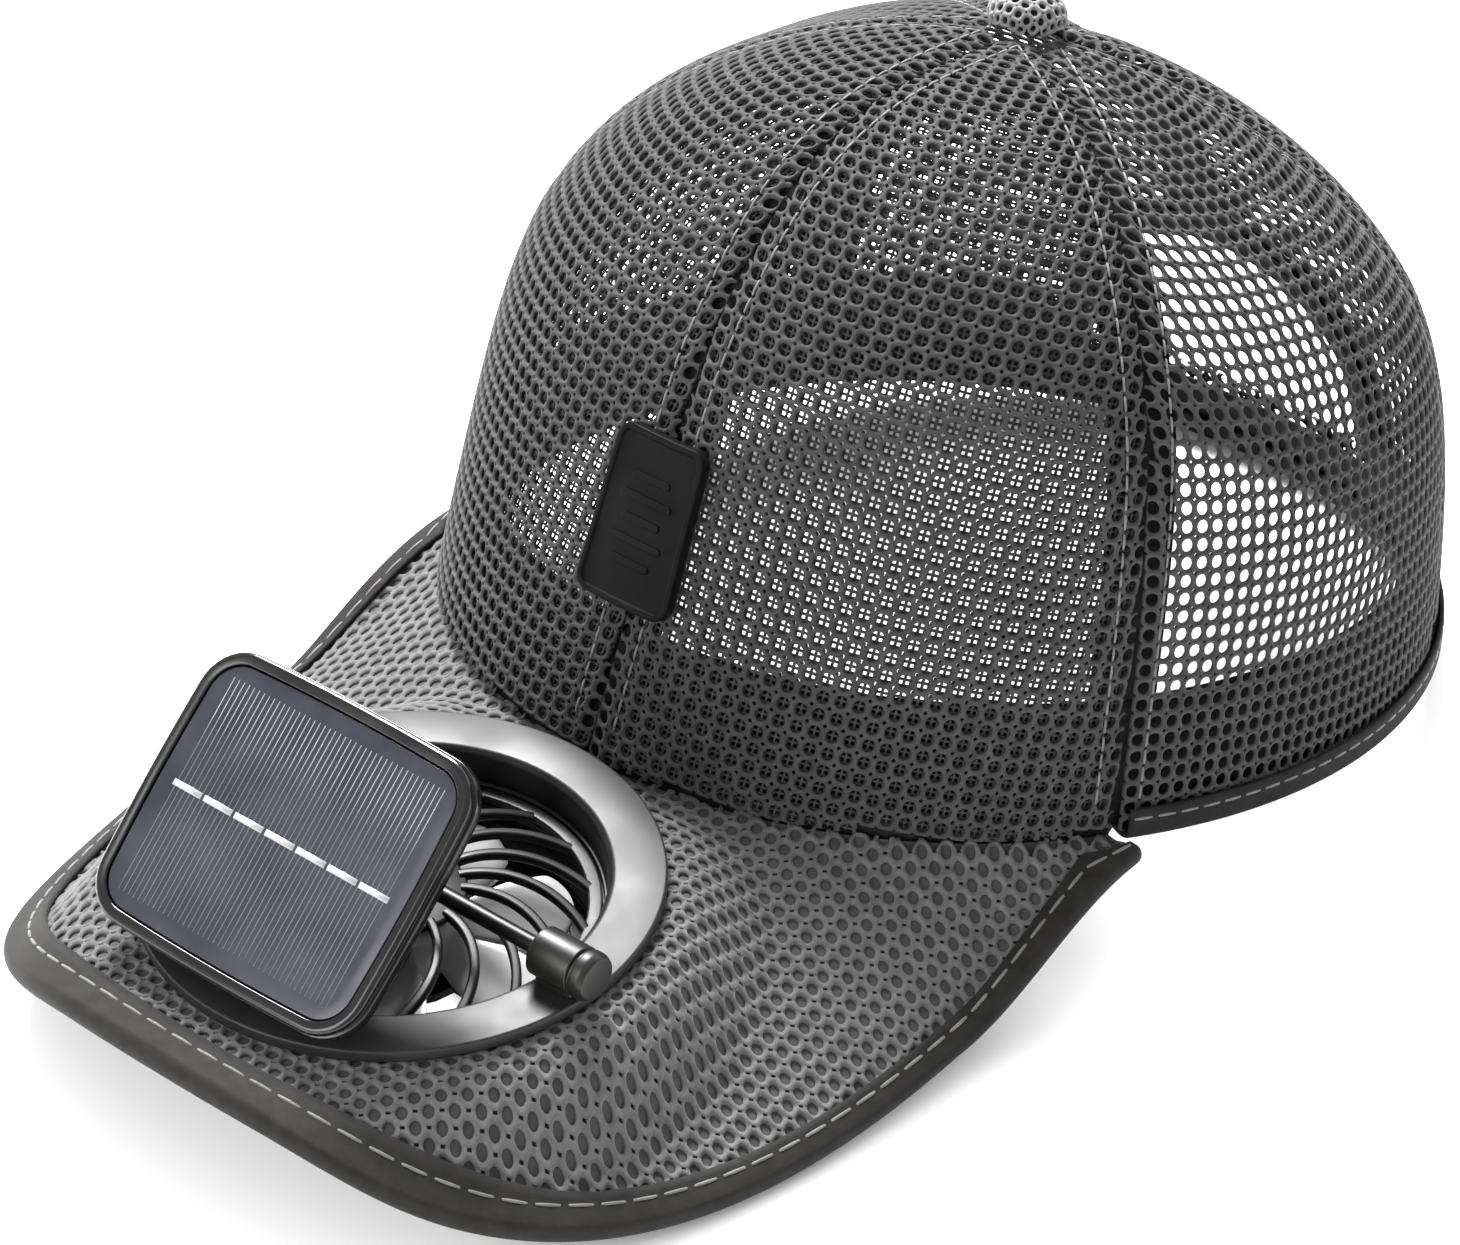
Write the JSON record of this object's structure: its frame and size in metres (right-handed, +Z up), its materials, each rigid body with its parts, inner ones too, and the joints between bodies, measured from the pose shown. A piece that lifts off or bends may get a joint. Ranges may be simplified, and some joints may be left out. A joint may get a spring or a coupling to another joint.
{
  "type": "fan hat",
  "caption": "Baseball-style mesh cap with a guarded fan set in its brim and a small solar panel that tilts on a hinge over the fan.",
  "frame": {"origin": "centre of the bounding box's underside, on the surface that the hat rests on", "axes": "+Z up, -Y the way the brim points, +X the wearer's left"},
  "size_m": [0.1782, 0.3088, 0.1347],
  "materials": {
    "mesh_cloth": "coarse knitted spacer mesh with round holes",
    "brim_cloth": "the same mesh over a stiff board",
    "band_cloth": "soft matte band",
    "tape_cloth": "satin woven binding",
    "button_cloth": "mesh over a button",
    "label_rubber": "satin black",
    "fan_plastic": "satin black",
    "blade_plastic": "light grey satin",
    "frame_plastic": "gloss black",
    "cell_glass": "clear resin over a dark blue cell",
    "steel": "plain"
  },
  "bodies": {
    "root": {"arch_binding": "tape_cloth", "brim": "brim_cloth", "brim_binding": "tape_cloth", "crown_panel_front_left": "mesh_cloth", "crown_panel_front_right": "mesh_cloth", "crown_panel_rear_left": "mesh_cloth", "crown_panel_rear_right": "mesh_cloth", "crown_panel_side_left": "mesh_cloth", "crown_panel_side_right": "mesh_cloth", "fan_back_grille": "fan_plastic", "fan_bezel": "fan_plastic", "fan_guard": "fan_plastic", "fan_housing": "fan_plastic", "fan_motor": "steel", "front_label": "label_rubber", "hinge_barrel_left": "fan_plastic", "hinge_barrel_right": "fan_plastic", "rim_binding": "tape_cloth", "seam_tape_front": "tape_cloth", "seam_tape_front_left": "tape_cloth", "seam_tape_front_right": "tape_cloth", "seam_tape_rear": "tape_cloth", "seam_tape_rear_left": "tape_cloth", "seam_tape_rear_right": "tape_cloth", "sweatband": "band_cloth", "top_button": "button_cloth"},
    "rotor": {"fan_rotor": "blade_plastic"},
    "solar_panel": {"panel_arm": "frame_plastic", "panel_frame": "frame_plastic", "panel_shaft": "steel", "solar_cell": "cell_glass"}
  },
  "joints": [
    {"name": "fan_spin", "type": "hinge", "parent": "root", "child": "rotor", "pos_m": [0, -0.09742, 0.02956], "axis": [0, -0.058, 0.9983], "continuous": true},
    {"name": "panel_tilt", "type": "hinge", "parent": "root", "child": "solar_panel", "pos_m": [0, -0.10133, 0.03649], "axis": [-1, 0, 0], "range_deg": [0, 75]}
  ]
}
